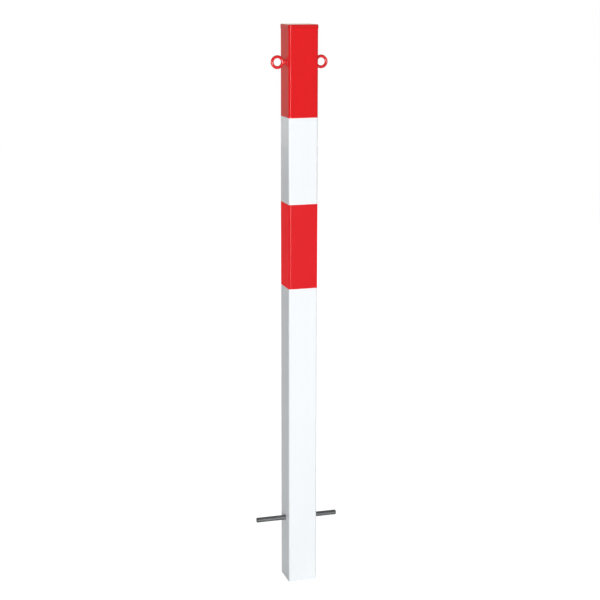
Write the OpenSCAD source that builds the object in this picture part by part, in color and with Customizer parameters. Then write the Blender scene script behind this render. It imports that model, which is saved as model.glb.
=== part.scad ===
// Square steel barrier post that is cast into the ground.
// The origin is the middle of the tube's cut foot and +Z is up.
// The chain eyes and the anchor bar lie along X, and the tube's weld seam is on the +Y wall.

/* [Tube] */
// Width of the square tube across its flats
tube_w = 70; // [60:1:100]
// Thickness of the tube's wall
tube_wall = 2.5; // [1.5:0.1:4]
// Outside radius of the tube's corners
tube_corner_r = 5; // [3:0.25:8]
// Length of the tube from its cut foot to its cut top
tube_h = 1340; // [1000:10:2000]
// Width of the weld seam down the inside of the back wall
seam_w = 4; // [2:0.5:6]
// Height of the weld seam above the wall
seam_h = 0.6; // [0.3:0.1:1]

/* [Red and white bands] */
// Height of the red coat on the head, down from the top of the tube
head_red_h = 200; // [120:10:300]
// Height of the white coat between the red head and the film
white_gap_h = 200; // [50:10:300]
// Height of the red film
film_h = 200; // [50:10:300]
// Thickness of the film
film_t = 0.3; // [0.2:0.05:0.6]
// Length by which the end of the film laps over its start, on the back
film_lap = 20; // [10:1:40]

/* [End cap] */
// Height of the cap's head above the tube
cap_head_h = 10; // [6:0.5:20]
// How far the head stands out past the tube on each side
cap_overhang = 0.75; // [0.25:0.25:2]
// Radius on the top edge of the head
cap_edge_r = 2; // [0.5:0.25:4]
// Thickness of the head's top
cap_top_t = 3; // [2:0.5:5]
// Depth of the plug inside the tube
cap_plug_h = 24; // [20:1:40]
// Thickness of the plug's wall
cap_plug_wall = 2.5; // [1.5:0.25:4]
// Corner radius of the plug
cap_plug_corner_r = 3; // [1:0.5:6]
// Reach of the sealing lips from the plug to the tube
cap_lip_reach = 3; // [2:0.25:5]
// Thickness of a lip where it leaves the plug
cap_lip_root_t = 1.8; // [1:0.1:2.5]
// Thickness of a lip at its edge
cap_lip_edge_t = 0.9; // [0.5:0.1:1.5]
// How far the edge of a lip is pushed up by the tube
cap_lip_rise = 1; // [0:0.1:2]
// Depth of the first lip below the head
cap_lip_start = 4; // [3:0.5:8]
// Distance from one lip to the next
cap_lip_pitch = 6.5; // [4:0.5:10]
// Clearance of the notch that lets the lips pass the weld seam
cap_notch_gap = 0.15; // [0.05:0.05:0.5]

/* [Chain eyes] */
// Diameter of the wire that each ring is bent from
eye_wire_d = 7; // [5:0.5:10]
// Inside diameter of a ring
eye_inner_d = 17.5; // [14:0.5:30]
// Depth of the rings' centres below the top of the tube
eye_drop = 75; // [40:5:110]
// Gap between a ring and the tube, which the weld fills
eye_gap = 1.75; // [1:0.25:4]
// Leg of the weld's fillet on the tube
weld_leg = 2.4; // [1.5:0.1:4]
// Thickness of the weld at its toe
weld_toe_t = 0.4; // [0.2:0.1:1]

/* [Anchor bar] */
// Diameter of the anchor bar
bar_d = 12; // [8:1:16]
// Length of the anchor bar
bar_l = 202; // [140:1:400]
// Chamfer on the ends of the bar
bar_chamfer = 0.8; // [0.3:0.1:2]
// Height of the bar's holes above the foot
bar_hole_z = 158; // [60:1:300]
// How much wider the holes are than the bar
bar_play = 3; // [1:0.5:5]
// Clearance under the bar where it rests in its holes
bar_seat_gap = 0.1; // [0.05:0.05:0.5]
// How far the bar has been pushed through towards -X
bar_shift = 6; // [0:1:20]
// Angle by which the loose bar lies askew in its holes, as seen from above
bar_askew = 1.5; // [0:0.1:1.5]

/* [Hidden] */
$fn = 96;
red_coat = "#dc2427";
red_film = "#e22b2f";
white_coat = "#f3f6f8";
red_moulding = "#d8262b";
bare_steel = "#6c7073";

tube_half = tube_w / 2;
bore_w = tube_w - 2 * tube_wall;
bore_half = bore_w / 2;
bore_corner_r = max(tube_corner_r - tube_wall, 0.5);

// The seam is the low crown of a circle through its two edges and its top
seam_r = (seam_w * seam_w / 4 + seam_h * seam_h) / (2 * seam_h);
seam_y = bore_half - seam_h + seam_r;

head_red_z = tube_h - head_red_h;
film_z = head_red_z - white_gap_h - film_h;

cap_head_c = tube_half - tube_corner_r;
cap_head_reach = tube_corner_r + cap_overhang;
cap_edge = min(cap_edge_r, cap_head_reach / 2, cap_head_h - cap_top_t / 2);
cap_plug_w = bore_w - 2 * cap_lip_reach;
cap_core_w = cap_plug_w - 2 * cap_plug_wall;
cap_core_corner_r = max(cap_plug_corner_r - cap_plug_wall, 0.5);
cap_lip_c = bore_half - bore_corner_r;
cap_lip_root_x = cap_plug_w / 2 - cap_plug_wall / 2 - cap_lip_c;
cap_lips = floor((cap_plug_h - cap_lip_start - cap_lip_root_t) / cap_lip_pitch) + 1;

eye_wire_r = eye_wire_d / 2;
eye_mean_r = eye_inner_d / 2 + eye_wire_r;
eye_centre_x = eye_gap + eye_wire_r + eye_mean_r;
eye_z = tube_h - eye_drop;
weld_waist = 0.92;
weld_neck_r = eye_wire_r * weld_waist;
weld_toe_r = weld_neck_r + weld_leg;

// The askew bar is aside of the middle at the tube's faces, so it rests a little up each hole's side
bar_hole_d = bar_d + bar_play;
bar_side_max = 0.35 * bar_play;
bar_turn = min(bar_askew, atan(bar_side_max / tube_half));
bar_side = tube_half * tan(bar_turn);
bar_z = bar_hole_z - sqrt(pow(bar_play / 2, 2) - pow(bar_side, 2)) + bar_seat_gap;

// How far a cut runs on past the face that it opens
past = 1;

// A filled square with round corners
module round_square(w, r) {
    square([w, w - 2 * r], center = true);
    square([w - 2 * r, w], center = true);
    for (x = [-1, 1], y = [-1, 1])
        translate([x * (w / 2 - r), y * (w / 2 - r)]) circle(r);
}

// A square ring of even thickness
module square_ring(outer_w, outer_r, inner_w, inner_r) {
    difference() {
        round_square(outer_w, outer_r);
        round_square(inner_w, inner_r);
    }
}

// Carries a profile round a square with round corners, c from its middle to each corner's centre.
// The profile's X is the distance out from the corner's centre, and its Y is the height.
module carried_round(c) {
    for (side = [0:3]) rotate(90 * side) {
        translate([c, 0, 0]) rotate([90, 0, 0]) linear_extrude(2 * c, center = true) children();
        translate([c, c, 0]) rotate_extrude(angle = 90) intersection() {
            children();
            translate([0, -tube_w]) square(2 * tube_w);
        }
    }
}

// The low crown of the weld seam, from inside the wall to the seam's top
module seam_profile() {
    intersection() {
        translate([0, seam_y]) circle(seam_r);
        translate([-seam_w / 2, 0]) square([seam_w, bore_half + tube_wall / 2]);
    }
}

// One stretch of the tube, drilled through both sides for the bar
module tube_stretch(z_low, z_high) {
    difference() {
        translate([0, 0, z_low]) linear_extrude(z_high - z_low) {
            square_ring(tube_w, tube_corner_r, bore_w, bore_corner_r);
            seam_profile();
        }
        translate([0, 0, bar_hole_z]) rotate([0, 90, 0])
            cylinder(h = tube_w + 2 * past, d = bar_hole_d, center = true);
    }
}

module post_tube() {
    color(white_coat) tube_stretch(0, head_red_z);
    color(red_coat) tube_stretch(head_red_z, tube_h);
}

// Section of the head's rim, flat below and round on its top edge
module cap_rim_profile() {
    square([cap_head_reach, cap_head_h - cap_edge]);
    square([cap_head_reach - cap_edge, cap_head_h]);
    translate([cap_head_reach - cap_edge, cap_head_h - cap_edge]) circle(cap_edge);
}

// Section of one lip, which tapers and is swept up where the tube bends it
module cap_lip_profile() {
    polygon([
        [cap_lip_root_x, -cap_lip_root_t / 2],
        [bore_corner_r, cap_lip_rise - cap_lip_edge_t / 2],
        [bore_corner_r, cap_lip_rise + cap_lip_edge_t / 2],
        [cap_lip_root_x, cap_lip_root_t / 2]
    ]);
}

module cap_head() {
    linear_extrude(cap_head_h) square(2 * cap_head_c, center = true);
    carried_round(cap_head_c) cap_rim_profile();
}

module cap_lip_stack() {
    difference() {
        for (lip = [0:cap_lips - 1])
            translate([0, 0, -cap_lip_start - lip * cap_lip_pitch])
                carried_round(cap_lip_c) cap_lip_profile();
        translate([0, seam_y, -cap_plug_h]) cylinder(h = cap_plug_h, r = seam_r + cap_notch_gap);
    }
}

module end_cap() {
    color(red_moulding) translate([0, 0, tube_h]) {
        difference() {
            union() {
                cap_head();
                translate([0, 0, -cap_plug_h])
                    linear_extrude(cap_plug_h) round_square(cap_plug_w, cap_plug_corner_r);
            }
            translate([0, 0, -cap_plug_h - past])
                linear_extrude(past + cap_plug_h + cap_head_h - cap_top_t)
                    round_square(cap_core_w, cap_core_corner_r);
        }
        cap_lip_stack();
    }
}

module film_band() {
    color(red_film) translate([0, 0, film_z]) {
        linear_extrude(film_h)
            square_ring(tube_w + 2 * film_t, tube_corner_r + film_t, tube_w, tube_corner_r);
        translate([-film_lap / 2, tube_half + film_t / 2, 0]) cube([film_lap, film_t * 3 / 2, film_h]);
    }
}

// The weld under a ring: a waisted neck that flares on to the tube's face at its toe
module weld_neck() {
    rotate([0, 90, 0]) rotate_extrude() difference() {
        square([weld_toe_r, eye_gap + eye_wire_r]);
        translate([weld_toe_r, weld_toe_t + weld_leg]) circle(weld_leg);
        translate([weld_neck_r, weld_toe_t + weld_leg]) square([2 * weld_leg, eye_gap + eye_wire_r]);
    }
}

// One ring that stands upright out of the face at x = 0, with its weld
module chain_eye() {
    translate([eye_centre_x, 0, 0]) rotate([90, 0, 0])
        rotate_extrude() translate([eye_mean_r, 0]) circle(eye_wire_r);
    weld_neck();
}

module chain_eye_left() {
    color(red_coat) translate([-tube_half, 0, eye_z]) mirror([1, 0, 0]) chain_eye();
}

module chain_eye_right() {
    color(red_coat) translate([tube_half, 0, eye_z]) chain_eye();
}

// The bar lies along X, with its -X end turned towards the back
module anchor_bar() {
    bar_r = bar_d / 2;
    color(bare_steel) rotate(-bar_turn) translate([-bar_shift, 0, bar_z]) rotate([0, 90, 0])
        rotate_extrude() polygon([
            [0, -bar_l / 2],
            [bar_r - bar_chamfer, -bar_l / 2],
            [bar_r, -bar_l / 2 + bar_chamfer],
            [bar_r, bar_l / 2 - bar_chamfer],
            [bar_r - bar_chamfer, bar_l / 2],
            [0, bar_l / 2]
        ]);
}

post_tube();
end_cap();
film_band();
chain_eye_left();
chain_eye_right();
anchor_bar();
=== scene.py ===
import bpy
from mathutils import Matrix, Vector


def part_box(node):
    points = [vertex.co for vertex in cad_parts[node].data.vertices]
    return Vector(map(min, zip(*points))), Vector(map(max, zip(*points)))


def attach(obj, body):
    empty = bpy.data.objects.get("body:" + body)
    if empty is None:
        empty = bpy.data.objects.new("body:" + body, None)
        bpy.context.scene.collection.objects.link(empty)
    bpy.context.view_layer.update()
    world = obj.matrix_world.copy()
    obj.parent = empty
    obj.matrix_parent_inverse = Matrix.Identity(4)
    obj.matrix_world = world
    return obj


bl_info = {
    "name": "Barrier Post",
    "version": (1, 0, 0),
    "blender": (4, 5, 0),
    "location": "3D View > Sidebar > Barrier Post",
    "description": "Finishes a red and white steel barrier post around its packed frame",
    "category": "Object",
}

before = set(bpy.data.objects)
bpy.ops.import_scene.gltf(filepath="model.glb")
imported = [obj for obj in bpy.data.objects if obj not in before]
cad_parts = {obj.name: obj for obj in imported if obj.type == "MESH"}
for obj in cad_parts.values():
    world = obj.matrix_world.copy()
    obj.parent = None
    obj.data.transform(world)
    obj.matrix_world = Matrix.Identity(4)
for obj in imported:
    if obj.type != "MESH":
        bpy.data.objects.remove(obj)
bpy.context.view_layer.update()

from math import atan2, cos, pi, radians, sin

import bmesh
import bpy
from bpy.props import FloatProperty, FloatVectorProperty, IntProperty, PointerProperty
from mathutils import Matrix, Vector

ROOT = "root"
MM = 0.001
_, TUBE_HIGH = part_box("post_tube")
FILM_LOW, FILM_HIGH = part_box("film_band")
EYE_LOW, EYE_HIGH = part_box("chain_eye_right")
BAR_LOW, BAR_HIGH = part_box("anchor_bar")


def linear(red, green, blue):
    """The linear colour of a colour that is written as it is seen, from 0 to 255."""
    parts = [channel / 255 for channel in (red, green, blue)]
    return tuple(p / 12.92 if p <= 0.04045 else ((p + 0.055) / 1.055) ** 2.4 for p in parts)


def colour_property(name, description, seen):
    return FloatVectorProperty(
        name=name, description=description, subtype="COLOR", size=3, min=0, max=1, default=linear(*seen)
    )


def length_property(name, description, metres):
    return FloatProperty(
        name=name, description=description, unit="LENGTH", min=0, precision=5, default=metres
    )


def level_property(name, description, level, highest=1):
    return FloatProperty(name=name, description=description, min=0, max=highest, default=level)


# Shader maths


class Value:
    """A number on a node's socket, on which shader maths is written as on any number."""

    def __init__(self, finish, socket):
        self.finish = finish
        self.socket = socket

    def math(self, operation, *others, clamp=False):
        settings = {"operation": operation, "use_clamp": clamp}
        node = self.finish.add("ShaderNodeMath", settings, dict(enumerate((self, *others))))
        return Value(self.finish, node.outputs[0])

    def __add__(self, other):
        return self.math("ADD", other)

    __radd__ = __add__

    def __sub__(self, other):
        return self.math("SUBTRACT", other)

    def __rsub__(self, other):
        return self.math("MULTIPLY_ADD", -1.0, other)

    def __mul__(self, other):
        return self.math("MULTIPLY", other)

    __rmul__ = __mul__

    def __truediv__(self, other):
        return self.math("DIVIDE", other)

    def __abs__(self):
        return self.math("ABSOLUTE")

    def larger(self, other):
        return self.math("MAXIMUM", other)

    def smaller(self, other):
        return self.math("MINIMUM", other)

    def above(self, edge, blur):
        """0 below the edge and 1 above it, with a ramp as wide as the blur across it."""
        return ((self - edge) / blur + 0.5).math("ADD", 0.0, clamp=True)


class Nodes:
    """A tree of shader nodes, and the few calls that make them."""

    def __init__(self, tree):
        self.tree = tree
        self.tree.nodes.clear()

    def add(self, kind, settings=None, inputs=None):
        """A node of that type, with its settings, and values or links on its sockets."""
        node = self.tree.nodes.new(kind)
        for key, setting in (settings or {}).items():
            setattr(node, key, setting)
        for key, value in (inputs or {}).items():
            self.plug(self.find(node.inputs, key), value)
        return node

    def find(self, sockets, key):
        """A node's socket by its place, its identifier or its name."""
        if isinstance(key, int):
            return sockets[key]
        named = [s for s in sockets if s.identifier == key] or [s for s in sockets if s.name == key]
        return named[0]

    def plug(self, socket, value):
        """Links a value to a socket, or sets it there if it is a plain number, colour or vector."""
        if isinstance(value, Value):
            value = value.socket
        if isinstance(value, bpy.types.NodeSocket):
            self.tree.links.new(value, socket)
        elif socket.type == "RGBA" and len(value) == 3:
            socket.default_value = (*value, 1)
        else:
            socket.default_value = value

    def rays(self, *kinds):
        """Whether a ray is one of these kinds, as 0 or 1."""
        path = self.add("ShaderNodeLightPath")
        return sum((Value(self, path.outputs[f"Is {kind} Ray"]) for kind in kinds[1:]),
                   Value(self, path.outputs[f"Is {kinds[0]} Ray"]))

    def blend(self, share, low, high):
        """A colour between two colours, or colour sockets, by a share."""
        node = self.add("ShaderNodeMix", {"data_type": "RGBA"}, {
            "Factor_Float": share,
            "A_Color": low,
            "B_Color": high,
        })
        return self.find(node.outputs, "Result_Color")


class Finish(Nodes):
    """A material of one Principled shader, with the patterns that the finishes are made of."""

    def __init__(self, name, **shader):
        self.material = bpy.data.materials.new(name)
        self.material.use_nodes = True
        super().__init__(self.material.node_tree)
        self.shader = self.add("ShaderNodeBsdfPrincipled")
        self.add("ShaderNodeOutputMaterial", inputs={"Surface": self.shader.outputs[0]})
        self.set(**shader)

    def set(self, **shader):
        """Values or links on the shader, by the sockets' names with _ for each space."""
        for key, value in shader.items():
            self.plug(self.shader.inputs[key.replace("_", " ")], value)

    def place(self):
        """Where a point is on the object, as its vector socket and its three values in metres."""
        vector = self.add("ShaderNodeTexCoord").outputs["Object"]
        split = self.add("ShaderNodeSeparateXYZ", inputs={"Vector": vector})
        return vector, *[Value(self, out) for out in split.outputs]

    def stretched(self, vector, scale):
        """The place with each axis stretched, so that a pattern runs along one of them."""
        node = self.add("ShaderNodeVectorMath", {"operation": "MULTIPLY"}, {0: vector, 1: scale})
        return node.outputs[0]

    def noise(self, vector, size, detail=2.0, roughness=0.5, distortion=0.0):
        """Soft noise from 0 to 1 whose blotches are about that size, in metres."""
        node = self.add("ShaderNodeTexNoise", inputs={
            "Vector": vector,
            "Scale": 1 / size,
            "Detail": detail,
            "Roughness": roughness,
            "Distortion": distortion,
        })
        return Value(self, node.outputs["Fac"])

    def cells(self, vector, size, feature="F1"):
        """The distance field of cells that are about that size, in metres."""
        node = self.add("ShaderNodeTexVoronoi", {"feature": feature}, {"Vector": vector, "Scale": 1 / size})
        return Value(self, node.outputs["Distance"])

    def bump(self, height, depth):
        """A normal from a height of 0 to 1 that stands for that depth, in metres."""
        node = self.add("ShaderNodeBump", inputs={"Height": height, "Distance": depth, "Strength": 1.0})
        return node.outputs[0]


# Sizes and colours that a user would change


class CoatSettings(bpy.types.PropertyGroup):
    """The coat on the tube and on the rings."""

    white: colour_property("White", "Colour of the white coat", (247, 251, 254))
    red: colour_property("Red", "Colour of the red coat", (231, 31, 36))
    red_height: length_property("Red height", "Height of the red coat below the tube's top", 200 * MM)
    peel_size: length_property("Peel size", "Size of the dimples in the sprayed coat", 3 * MM)
    peel_depth: length_property("Peel depth", "Depth of the dimples in the sprayed coat", 0.012 * MM)
    roughness: level_property("Roughness", "Roughness of the coat", 0.07)


class CapSettings(bpy.types.PropertyGroup):
    """The moulded cap."""

    colour: colour_property("Colour", "Colour of the moulding", (226, 25, 30))
    grain_size: length_property("Grain size", "Size of the grain on the moulding", 0.5 * MM)
    grain_depth: length_property("Grain depth", "Depth of the grain on the moulding", 0.01 * MM)


class FilmSettings(bpy.types.PropertyGroup):
    """The red film round the tube."""

    colour: colour_property("Colour", "Colour of the film", (234, 35, 43))
    sheen: colour_property("Sheen", "Colour of what the film sends back at a flat angle", (255, 30, 34))
    bead_size: length_property("Bead size", "Size of the glass beads under the film's face", 0.35 * MM)
    wave_depth: length_property("Wave depth", "Depth of the soft waves in the film's face", 0.03 * MM)
    edge_width: length_property("Edge width", "Width of the darker cut edge", 0.8 * MM)


class EyeSettings(bpy.types.PropertyGroup):
    """The weld beads under the rings."""

    ripples: IntProperty(
        name="Ripples", description="Ripples in the bead round a weld", min=6, max=40, default=17)
    ripple_depth: level_property(
        "Ripple depth", "Share of the radius lost between ripples", 0.16, highest=0.5)
    bead_radius: length_property("Bead radius", "Radius of the bead's section", 1.5 * MM)
    ring_radius: length_property("Ring radius", "Radius of the bead's run round the weld", 4.7 * MM)
    rise: length_property("Rise", "Height of the bead's middle above the tube", 0.8 * MM)


class BarSettings(bpy.types.PropertyGroup):
    """The anchor bar."""

    colour: colour_property("Colour", "Colour of the bare steel", (152, 156, 158))
    scale_colour: colour_property("Scale colour", "Colour of the mill scale", (78, 81, 82))
    askew: FloatProperty(
        name="Askew", description="Turn of the bar from straight through", unit="ROTATION",
        default=radians(1.5))


class StageSettings(bpy.types.PropertyGroup):
    """The floor, the lamps and the camera."""

    floor_radius: length_property("Floor radius", "Radius of the floor", 9.0)
    ambient: level_property("Ambient", "Light from all sides", 0.3, highest=2)
    mirrored_wall: level_property("Mirrored wall", "Level of the wall that gloss mirrors", 0.5, highest=2)
    mirrored_side: level_property("Mirrored side", "Level of the sides that gloss mirrors", 0.1, highest=2)
    mirrored_tint: colour_property("Mirrored tint", "Tint of what gloss mirrors", (255, 252, 236))
    paper: level_property("Paper", "Shade of the floor's paper", 0.8)
    shadow: level_property("Shadow", "Depth of the shadow on the floor", 0.5)


SETTINGS = {
    "post_coat": CoatSettings,
    "post_cap": CapSettings,
    "post_film": FilmSettings,
    "post_eyes": EyeSettings,
    "post_bar": BarSettings,
    "post_stage": StageSettings,
}


# Finishes


def sprayed_dimples(finish, vector, coat):
    """The normal of a sprayed coat, with its wide soft dimples and a finer grain in them."""
    wide = finish.noise(vector, coat.peel_size, detail=1.0)
    fine = finish.noise(vector, coat.peel_size / 4, detail=1.0)
    return finish.bump(wide * 0.8 + fine * 0.2, coat.peel_depth)


def tube_finish(coat):
    """White coat with a red head outside, and bare galvanised steel inside."""
    finish = Finish("tube_coat", IOR=1.5, Specular_IOR_Level=0.16)
    vector, x, y, z = finish.place()

    # The red ends in a masked edge that wanders a little
    paint_edge = 0.3 * MM
    wobble = (finish.noise(vector, size=6 * MM) - 0.5) * paint_edge
    red = (z + wobble).above(edge=TUBE_HIGH.z - coat.red_height, blur=0.15 * MM)
    tint = finish.noise(vector, size=90 * MM, detail=3.0)
    white = finish.blend(tint, [c * 0.985 for c in coat.white], coat.white)
    red_tint = finish.blend(tint, [c * 0.97 for c in coat.red], coat.red)
    paint = finish.blend(red, white, red_tint)

    # Zinc shows inside the tube, in flat crystals, with a burnt line along the weld seam
    inside_wall = TUBE_HIGH.x - 2.0 * MM
    outside = abs(x).larger(abs(y)).above(edge=inside_wall, blur=0.3 * MM)
    crystals = finish.cells(vector, size=7 * MM, feature="SMOOTH_F1")
    dull_zinc = linear(120, 124, 126)
    bright_zinc = linear(176, 180, 183)
    burnt_zinc = linear(74, 66, 60)
    seam_reach = 5 * MM
    back_wall = TUBE_HIGH.y - 5 * MM
    by_seam = (1 - abs(x).above(edge=seam_reach, blur=3 * MM)) * y.above(edge=back_wall, blur=1 * MM)
    zinc = finish.blend(crystals, dull_zinc, bright_zinc)
    zinc = finish.blend(by_seam * 0.7, zinc, burnt_zinc)

    smudge = finish.noise(vector, size=40 * MM, detail=4.0, roughness=0.6)
    coat_roughness = smudge * 0.06 + (coat.roughness - 0.03)
    zinc_roughness = crystals * 0.2 + 0.4
    finish.set(
        Base_Color=finish.blend(outside, zinc, paint),
        Metallic=(1 - outside) * 0.8,
        Roughness=outside * coat_roughness + (1 - outside) * zinc_roughness,
        Normal=sprayed_dimples(finish, vector, coat),
    )
    return finish.material


def ring_finish(coat):
    """The red coat on the rings and their welds, which pools more and shines more than on the tube."""
    finish = Finish("ring_coat", IOR=1.5, Specular_IOR_Level=0.9)
    vector, *_ = finish.place()
    tint = finish.noise(vector, size=12 * MM, detail=3.0)
    finish.set(
        Base_Color=finish.blend(tint, [c * 0.93 for c in coat.red], coat.red),
        Roughness=tint * 0.06 + (coat.roughness + 0.01),
        Normal=sprayed_dimples(finish, vector, coat),
    )
    return finish.material


def cap_finish(cap):
    """Satin moulded plastic with a fine grain and faint flow marks."""
    finish = Finish("cap_moulding", IOR=1.5, Specular_IOR_Level=0.32)
    vector, *_ = finish.place()
    flow = finish.noise(finish.stretched(vector, (1, 1, 3)), size=18 * MM, detail=3.0, distortion=1.0)
    grain = finish.noise(vector, cap.grain_size, detail=1.0)
    finish.set(
        Base_Color=finish.blend(flow, [c * 0.94 for c in cap.colour], cap.colour),
        Roughness=flow * 0.06 + grain * 0.04 + 0.1,
        Normal=finish.bump(grain, cap.grain_depth),
    )
    return finish.material


def film_finish(film):
    """Film that sends light back where it comes from, so it is as bright on each face."""
    finish = Finish(
        "film_face", IOR=1.45, Specular_IOR_Level=0.17, Diffuse_Roughness=1.0,
        Sheen_Weight=1.0, Sheen_Roughness=0.46, Sheen_Tint=film.sheen,
    )
    vector, x, y, z = finish.place()
    beads = finish.cells(vector, film.bead_size)
    wave = finish.noise(vector, size=25 * MM, detail=1.0)
    middle = (FILM_LOW.z + FILM_HIGH.z) / 2
    half = (FILM_HIGH.z - FILM_LOW.z) / 2
    cut = abs(z - middle).above(edge=half - film.edge_width / 2, blur=film.edge_width)

    # The film is stretched smooth round the tube's corners
    corner_reach = 4.5 * MM
    corner = abs(x).smaller(abs(y)).above(edge=FILM_HIGH.x - corner_reach, blur=1 * MM)
    colour = finish.blend(beads, film.colour, [c * 0.93 for c in film.colour])
    colour = finish.blend(cut * 0.4, colour, [c * 0.7 for c in film.colour])
    finish.set(
        Base_Color=colour,
        Roughness=wave * 0.08 + beads * 0.05 + (0.36 - corner * 0.26),
        Normal=finish.bump(beads * 0.1 + wave, film.wave_depth),
    )
    return finish.material


def bar_finish(bar):
    """Rolled steel under patchy mill scale, drawn along its length, and bright where it is sawn."""
    finish = Finish("bar_steel", IOR=1.5)
    vector, x, y, _ = finish.place()
    streaks = finish.noise(finish.stretched(vector, (0.08, 1, 1)), size=1.2 * MM, detail=3.0)
    patches = finish.noise(finish.stretched(vector, (0.4, 1, 1)), size=7 * MM, detail=4.0, roughness=0.6)
    scale = patches.above(edge=0.5, blur=0.3)

    # How far a point is along the turned bar, and the bar's half length, from the bar's box
    middle = (BAR_LOW + BAR_HIGH) / 2
    along = (x - middle.x) * cos(bar.askew) - (y - middle.y) * sin(bar.askew)
    size = BAR_HIGH - BAR_LOW
    half = (size.x - size.z * sin(bar.askew)) / (2 * cos(bar.askew))
    cut_blur = 0.05 * MM
    sawn = abs(along).above(edge=half - cut_blur, blur=cut_blur)
    saw_lines = finish.noise(finish.stretched(vector, (0, 0.05, 1)), size=0.4 * MM, detail=1.0)
    sawn_steel = linear(168, 170, 170)
    line_depth = 0.05 * MM
    colour = finish.blend(scale * 0.8, bar.colour, bar.scale_colour)
    colour = finish.blend(streaks * 0.35, colour, bar.scale_colour)
    colour = finish.blend(sawn * 0.8, colour, sawn_steel)
    finish.set(
        Base_Color=colour,
        Metallic=0.75,
        Roughness=scale * 0.14 + streaks * 0.12 + 0.28,
        Normal=finish.bump(streaks * (1 - sawn) + saw_lines * sawn, line_depth),
    )
    return finish.material


# Shapes


def dress(obj, material):
    """Gives a piece its one material."""
    obj.data.materials.clear()
    obj.data.materials.append(material)


def new_piece(name, shape, material):
    """Makes a bmesh a smooth piece that rides on the post."""
    mesh = bpy.data.meshes.new(name)
    shape.to_mesh(mesh)
    shape.free()
    mesh.shade_smooth()
    piece = bpy.data.objects.new(name, mesh)
    bpy.context.scene.collection.objects.link(piece)
    dress(piece, material)
    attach(piece, ROOT)
    return piece


def weld_bead(eyes, side):
    """A bead of overlapping ripples round the foot of a ring, on the right (1) or the left (-1) face."""
    steps_a_ripple = 10
    crest_sharpness = 0.6
    shape = bmesh.new()
    bmesh.ops.create_circle(
        shape, segments=16, radius=eyes.bead_radius,
        matrix=Matrix.Translation((0, 0, eyes.ring_radius)) @ Matrix.Rotation(pi / 2, 4, "X"),
    )
    bmesh.ops.spin(
        shape, geom=shape.verts[:] + shape.edges[:], axis=(1, 0, 0),
        angle=2 * pi, steps=eyes.ripples * steps_a_ripple, use_merge=True,
    )
    for vert in shape.verts:
        turn = atan2(vert.co.z, vert.co.y)
        middle = Vector((0, cos(turn), sin(turn))) * eyes.ring_radius
        swell = 1 - eyes.ripple_depth * (1 - abs(sin(eyes.ripples * turn / 2)) ** crest_sharpness)
        vert.co = middle + (vert.co - middle) * swell
    ring_middle = (EYE_LOW + EYE_HIGH) / 2
    place = Vector((side * (EYE_LOW.x + eyes.rise), 0, ring_middle.z))
    bmesh.ops.translate(shape, verts=shape.verts, vec=place)
    bmesh.ops.recalc_face_normals(shape, faces=shape.faces)
    return shape


# Stage


def make_floor(stage):
    """A floor of white paper, which the camera sees as white but for the post's soft shadow."""
    shape = bmesh.new()
    bmesh.ops.create_circle(shape, cap_ends=True, segments=96, radius=stage.floor_radius)
    mesh = bpy.data.meshes.new("floor")
    shape.to_mesh(mesh)
    shape.free()
    floor = bpy.data.objects.new("floor", mesh)
    bpy.context.scene.collection.objects.link(floor)

    material = bpy.data.materials.new("floor_paper")
    material.use_nodes = True
    nodes = Nodes(material.node_tree)
    paper = nodes.add("ShaderNodeBsdfDiffuse", inputs={"Color": (stage.paper,) * 3})
    shaded = nodes.add("ShaderNodeBsdfDiffuse", inputs={"Color": (stage.shadow,) * 3})
    lit = nodes.add("ShaderNodeEmission", inputs={"Strength": 1 - stage.shadow * stage.ambient})
    seen = nodes.add("ShaderNodeAddShader", inputs={0: shaded.outputs[0], 1: lit.outputs[0]})
    surface = nodes.add("ShaderNodeMixShader", inputs={
        0: nodes.rays("Camera"),
        1: paper.outputs[0],
        2: seen.outputs[0],
    })
    nodes.add("ShaderNodeOutputMaterial", inputs={"Surface": surface.outputs[0]})
    floor.data.materials.append(material)


def make_surroundings(stage):
    """Even soft light in front of what the camera sees as a white wall.

    Gloss mirrors a pale wall before and behind the post, a white backdrop and darker sides.
    """
    world = bpy.data.worlds.new("surroundings")
    world.use_nodes = True
    nodes = Nodes(world.node_tree)
    direction = nodes.add("ShaderNodeTexCoord").outputs["Generated"]
    across, along, _ = [Value(nodes, out) for out in nodes.add(
        "ShaderNodeSeparateXYZ", inputs={"Vector": direction}).outputs]
    backdrop_x, backdrop_y = 0.3, 0.954
    wall = abs(along).above(edge=0.9, blur=0.08)
    backdrop = (across * backdrop_x + along * backdrop_y).above(edge=0.92, blur=0.1)
    mirrored = wall * (stage.mirrored_wall - stage.mirrored_side) + stage.mirrored_side
    mirrored = mirrored + backdrop * (1 - stage.mirrored_wall)
    glossy = nodes.rays("Glossy", "Transmission")
    level = nodes.rays("Camera") * (1 - stage.ambient) + glossy * (mirrored - stage.ambient) + stage.ambient
    tint = nodes.blend(glossy, (1, 1, 1), stage.mirrored_tint)
    sky = nodes.add("ShaderNodeBackground", inputs={"Color": tint, "Strength": level})
    nodes.add("ShaderNodeOutputWorld", inputs={"Surface": sky.outputs[0]})
    bpy.context.scene.world = world


def lamp(name, azimuth, distance, height, width, tall, watts, aim, spread=180):
    """A soft rectangular lamp, placed round the post by its azimuth in degrees from the front."""
    light = bpy.data.lights.new(name, "AREA")
    light.shape = "RECTANGLE"
    light.size = width
    light.size_y = tall
    light.energy = watts
    light.spread = radians(spread)
    obj = bpy.data.objects.new(name, light)
    bpy.context.scene.collection.objects.link(obj)
    turn = radians(azimuth)
    obj.location = (distance * sin(turn), -distance * cos(turn), height)
    obj.rotation_euler = (Vector(aim) - obj.location).to_track_quat("-Z", "Y").to_euler()
    obj.visible_camera = False
    return obj


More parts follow.
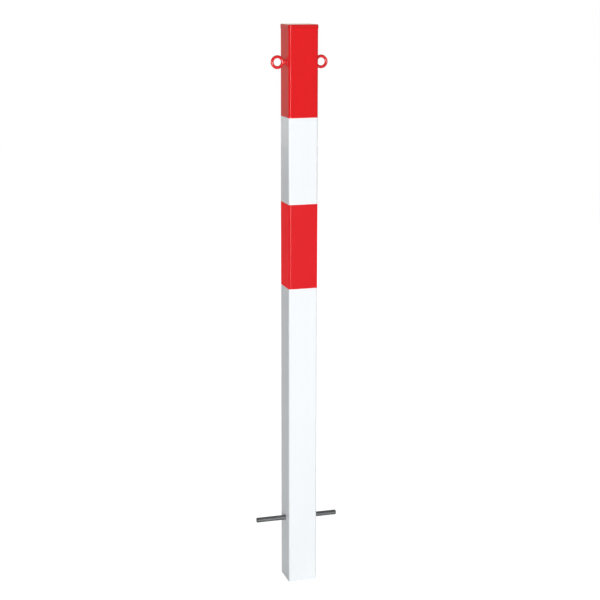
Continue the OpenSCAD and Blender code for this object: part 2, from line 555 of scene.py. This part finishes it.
def make_lamps():
    """Broad lamps before and behind the post, and a narrow one for the shaded side of its head."""
    lamp("key_lamp", azimuth=-15, distance=5.0, height=0.7, width=2.1, tall=1.5, watts=120, aim=(0, 0, 0.7))
    lamp("low_lamp", azimuth=-15, distance=3.5, height=0.2, width=1.4, tall=0.4, watts=25, aim=(0, 0, 0.5))
    lamp("back_lamp", azimuth=135, distance=4.5, height=2.4, width=2.0, tall=2.0, watts=90, aim=(0, 0, 0.8))
    head_lamp = lamp(
        "head_lamp", azimuth=-90, distance=2.0, height=1.25, width=0.2, tall=0.2, watts=0.078,
        aim=(0, 0, 1.25), spread=19,
    )
    head_lamp.visible_glossy = False


def make_camera():
    """The photograph's camera, fitted to the tube's corners and the edges of its bands."""
    camera = bpy.data.cameras.new("camera")
    camera.sensor_width = 36
    camera.lens = 82.79
    camera.clip_end = 100
    obj = bpy.data.objects.new("camera", camera)
    bpy.context.scene.collection.objects.link(obj)
    yaw, pitch, roll = radians(-17.43), radians(-13.182), radians(0.086)
    tilt = Matrix.Rotation(pi / 2 + pitch, 3, "X")
    turn = Matrix.Rotation(yaw, 3, "Z") @ tilt @ Matrix.Rotation(roll, 3, "Z")
    obj.rotation_euler = turn.to_euler()
    obj.location = (-0.9563, -3.0543, 1.4544)
    bpy.context.scene.camera = obj


# Operators


class PostOperator:
    """What the steps of this add-on share."""

    bl_options = {"REGISTER", "UNDO"}


class BARRIERPOST_OT_tube(PostOperator, bpy.types.Operator):
    """Coats the tube white, with a red head and a galvanised inside"""

    bl_idname = "barrierpost.tube"
    bl_label = "Coat the Tube"

    def execute(self, context):
        dress(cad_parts["post_tube"], tube_finish(context.scene.post_coat))
        return {"FINISHED"}


class BARRIERPOST_OT_cap(PostOperator, bpy.types.Operator):
    """Gives the end cap its moulded finish"""

    bl_idname = "barrierpost.cap"
    bl_label = "Finish the Cap"

    def execute(self, context):
        dress(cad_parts["end_cap"], cap_finish(context.scene.post_cap))
        return {"FINISHED"}


class BARRIERPOST_OT_film(PostOperator, bpy.types.Operator):
    """Gives the red film its face"""

    bl_idname = "barrierpost.film"
    bl_label = "Finish the Film"

    def execute(self, context):
        dress(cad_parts["film_band"], film_finish(context.scene.post_film))
        return {"FINISHED"}


class BARRIERPOST_OT_eyes(PostOperator, bpy.types.Operator):
    """Coats the two chain eyes and lays the weld beads round their feet"""

    bl_idname = "barrierpost.eyes"
    bl_label = "Finish the Chain Eyes"

    def execute(self, context):
        eyes = context.scene.post_eyes
        coat = ring_finish(context.scene.post_coat)
        for name, side in (("left", -1), ("right", 1)):
            dress(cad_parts["chain_eye_" + name], coat)
            new_piece("eye_weld_" + name, weld_bead(eyes, side), coat)
        return {"FINISHED"}


class BARRIERPOST_OT_bar(PostOperator, bpy.types.Operator):
    """Gives the anchor bar its rolled steel"""

    bl_idname = "barrierpost.bar"
    bl_label = "Finish the Anchor Bar"

    def execute(self, context):
        dress(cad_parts["anchor_bar"], bar_finish(context.scene.post_bar))
        return {"FINISHED"}


class BARRIERPOST_OT_stage(PostOperator, bpy.types.Operator):
    """Makes the floor, the lamps, the surroundings and the camera"""

    bl_idname = "barrierpost.stage"
    bl_label = "Set the Stage"

    def execute(self, context):
        stage = context.scene.post_stage
        make_floor(stage)
        make_surroundings(stage)
        make_lamps()
        make_camera()
        context.scene.view_settings.view_transform = "Standard"
        return {"FINISHED"}


OPERATORS = (
    BARRIERPOST_OT_stage,
    BARRIERPOST_OT_tube,
    BARRIERPOST_OT_cap,
    BARRIERPOST_OT_film,
    BARRIERPOST_OT_eyes,
    BARRIERPOST_OT_bar,
)


class BARRIERPOST_PT_sidebar(bpy.types.Panel):
    """Lists the settings and the steps of the barrier post"""

    bl_idname = "BARRIERPOST_PT_sidebar"
    bl_label = "Barrier Post"
    bl_space_type = "VIEW_3D"
    bl_region_type = "UI"
    bl_category = "Barrier Post"

    def draw(self, context):
        for key, group in SETTINGS.items():
            box = self.layout.box()
            for field in group.__annotations__:
                box.prop(getattr(context.scene, key), field)
        for operator in OPERATORS:
            self.layout.operator(operator.bl_idname)


CLASSES = (*SETTINGS.values(), *OPERATORS, BARRIERPOST_PT_sidebar)


def register():
    for cls in CLASSES:
        bpy.utils.register_class(cls)
    for key, group in SETTINGS.items():
        setattr(bpy.types.Scene, key, PointerProperty(type=group))


def unregister():
    for key in SETTINGS:
        delattr(bpy.types.Scene, key)
    for cls in reversed(CLASSES):
        bpy.utils.unregister_class(cls)


def main():
    register()
    bpy.ops.barrierpost.stage()
    bpy.ops.barrierpost.tube()
    bpy.ops.barrierpost.cap()
    bpy.ops.barrierpost.film()
    bpy.ops.barrierpost.eyes()
    bpy.ops.barrierpost.bar()


if __name__ == "__main__":
    main()
